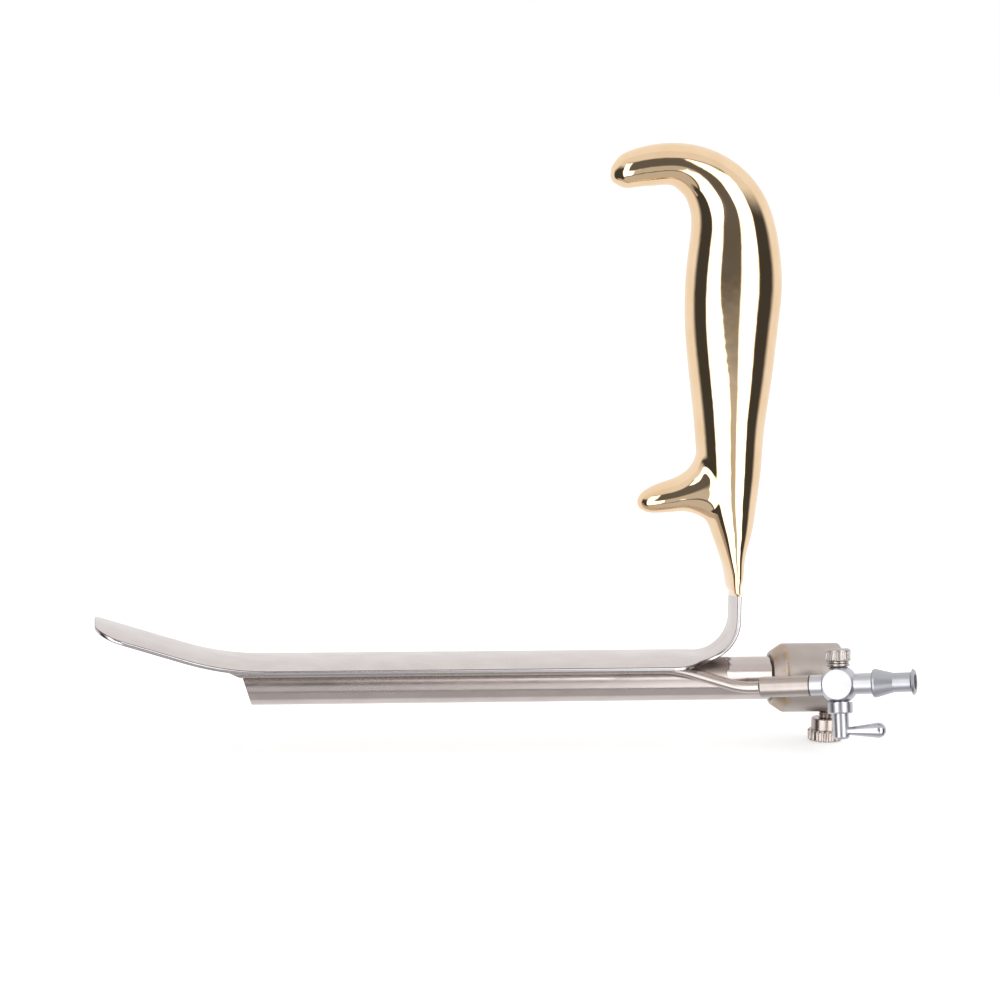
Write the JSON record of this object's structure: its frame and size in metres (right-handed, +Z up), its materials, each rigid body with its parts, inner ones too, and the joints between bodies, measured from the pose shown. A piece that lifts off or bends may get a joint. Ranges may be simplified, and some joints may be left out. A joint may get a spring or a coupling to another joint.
{
  "type": "endoscopic retractor",
  "caption": "Hand-held surgical retractor: arched blade with a tube for a rigid endoscope, locking thumb screw, suction line with stopcock, and a curved palm handle with a finger rest.",
  "frame": {"origin": "centre of the scope socket's rear mouth, on the endoscope channel's axis", "axes": "+X along the channel, backward out of the socket, the way the endoscope leaves; +Z up towards the handle; the stopcock stands on the -Y side"},
  "size_m": [0.2217, 0.0506, 0.1663],
  "materials": {
    "gold_plating": "mirror polished gold plating",
    "satin_steel": "satin stainless steel",
    "polished_steel": "polished stainless steel",
    "nickel_plating": "matt nickel plating",
    "pad_plastic": "plain PTFE"
  },
  "bodies": {
    "root": {"handle": "gold_plating", "blade": "satin_steel", "scope_tube": "satin_steel", "scope_socket": "satin_steel", "suction_tube": "polished_steel", "suction_sleeve": "polished_steel", "stopcock_body": "nickel_plating", "outlet_connector": "nickel_plating"},
    "tap": {"tap_key": "nickel_plating", "tap_lever": "nickel_plating", "tap_washer": "polished_steel", "tap_spring": "polished_steel", "tap_nut": "polished_steel"},
    "lock_slider": {"lock_pad": "pad_plastic"},
    "lock_knob": {"lock_screw": "polished_steel"}
  },
  "joints": [
    {"name": "tap_turn", "type": "hinge", "parent": "root", "child": "tap", "pos_m": [-0.00565, -0.025, 0.00275], "axis": [-0.0234, 0.2005, 0.9794], "continuous": true},
    {"name": "lock_travel", "type": "slide", "parent": "root", "child": "lock_slider", "axis": [0, 0, 1], "range_m": [-0.00105, 0.00158]},
    {"name": "lock_turn", "type": "hinge", "parent": "lock_slider", "child": "lock_knob", "pos_m": [-0.0035, 0, -0.012], "axis": [0, 0, 1], "range_deg": [-541, 811]}
  ],
  "couplings": [
    {"joint": "lock_turn", "follows": "lock_travel", "rad_per_m": 8976}
  ]
}
